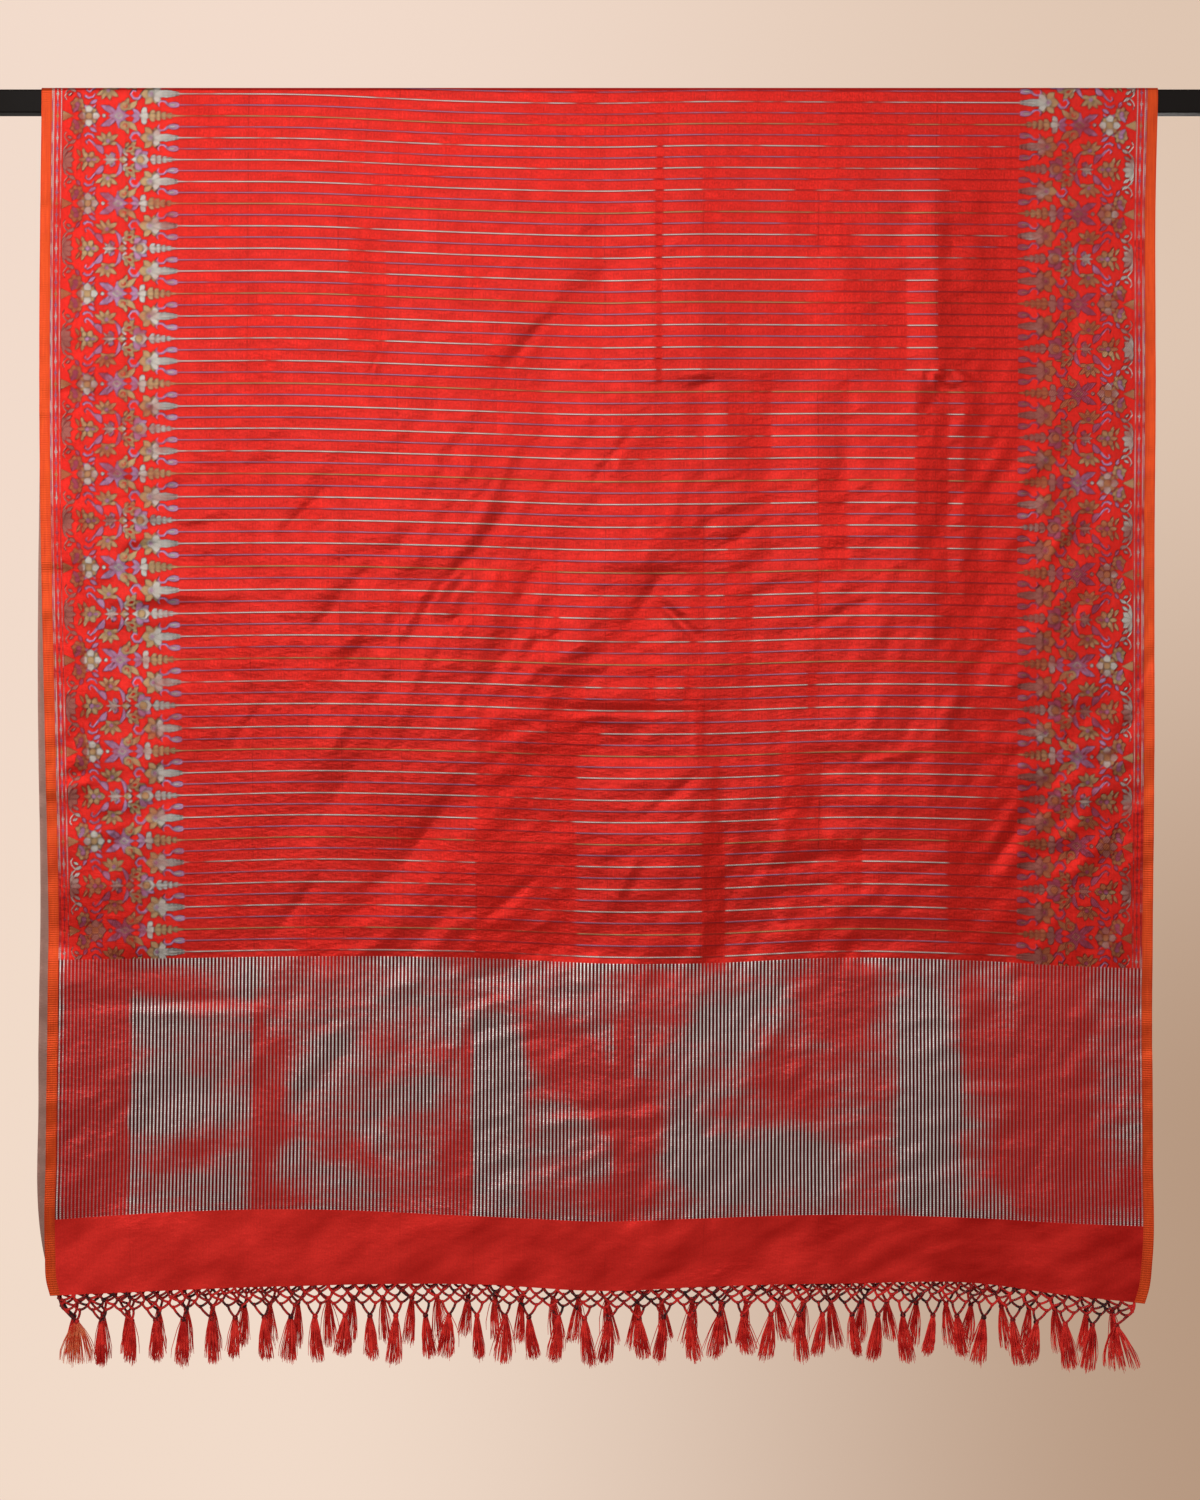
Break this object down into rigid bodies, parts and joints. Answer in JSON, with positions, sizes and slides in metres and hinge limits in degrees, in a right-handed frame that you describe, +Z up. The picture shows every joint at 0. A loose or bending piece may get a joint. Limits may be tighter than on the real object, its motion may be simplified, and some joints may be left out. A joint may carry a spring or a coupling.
{
  "type": "dupatta stole on a hanging rod",
  "caption": "Red satin silk dupatta stole folded over a square hanging rod, with woven flower borders, striped field, zigzag end panels, orange selvedges, knotted net and tassels.",
  "frame": {"origin": "on the rod's axis, half way along the rod", "axes": "+Z up, +X along the rod to the right seen from the front, the front fall hangs on the -Y side of the rod"},
  "size_m": [1.08, 0.0363, 1.0913],
  "materials": {
    "black_rod": "matt black powder coat",
    "red_satin": "satin silk with a soft sheen and fine twill, thin silver, lilac and gold weft stripes",
    "border_brocade": "satin silk with woven silver, lilac and gold flowers",
    "orange_selvedge": "plain ribbed orange silk",
    "silver_zigzag": "red satin silk with silver thread zigzags along the warp",
    "plain_red": "plain satin silk",
    "red_thread": "twisted silk threads, knotted"
  },
  "bodies": {
    "root": {"hanging_rod": "black_rod", "turn_over_rod": "red_satin", "front_field": "red_satin", "back_field": "red_satin", "front_border_left": "border_brocade", "front_border_right": "border_brocade", "back_border_left": "border_brocade", "back_border_right": "border_brocade", "front_selvedge_left": "orange_selvedge", "front_selvedge_right": "orange_selvedge", "back_selvedge_left": "orange_selvedge", "back_selvedge_right": "orange_selvedge", "front_pallu": "silver_zigzag", "back_pallu": "silver_zigzag", "front_end_band": "plain_red", "back_end_band": "plain_red", "front_net_fringe": "red_thread", "back_net_fringe": "red_thread"}
  },
  "joints": []
}
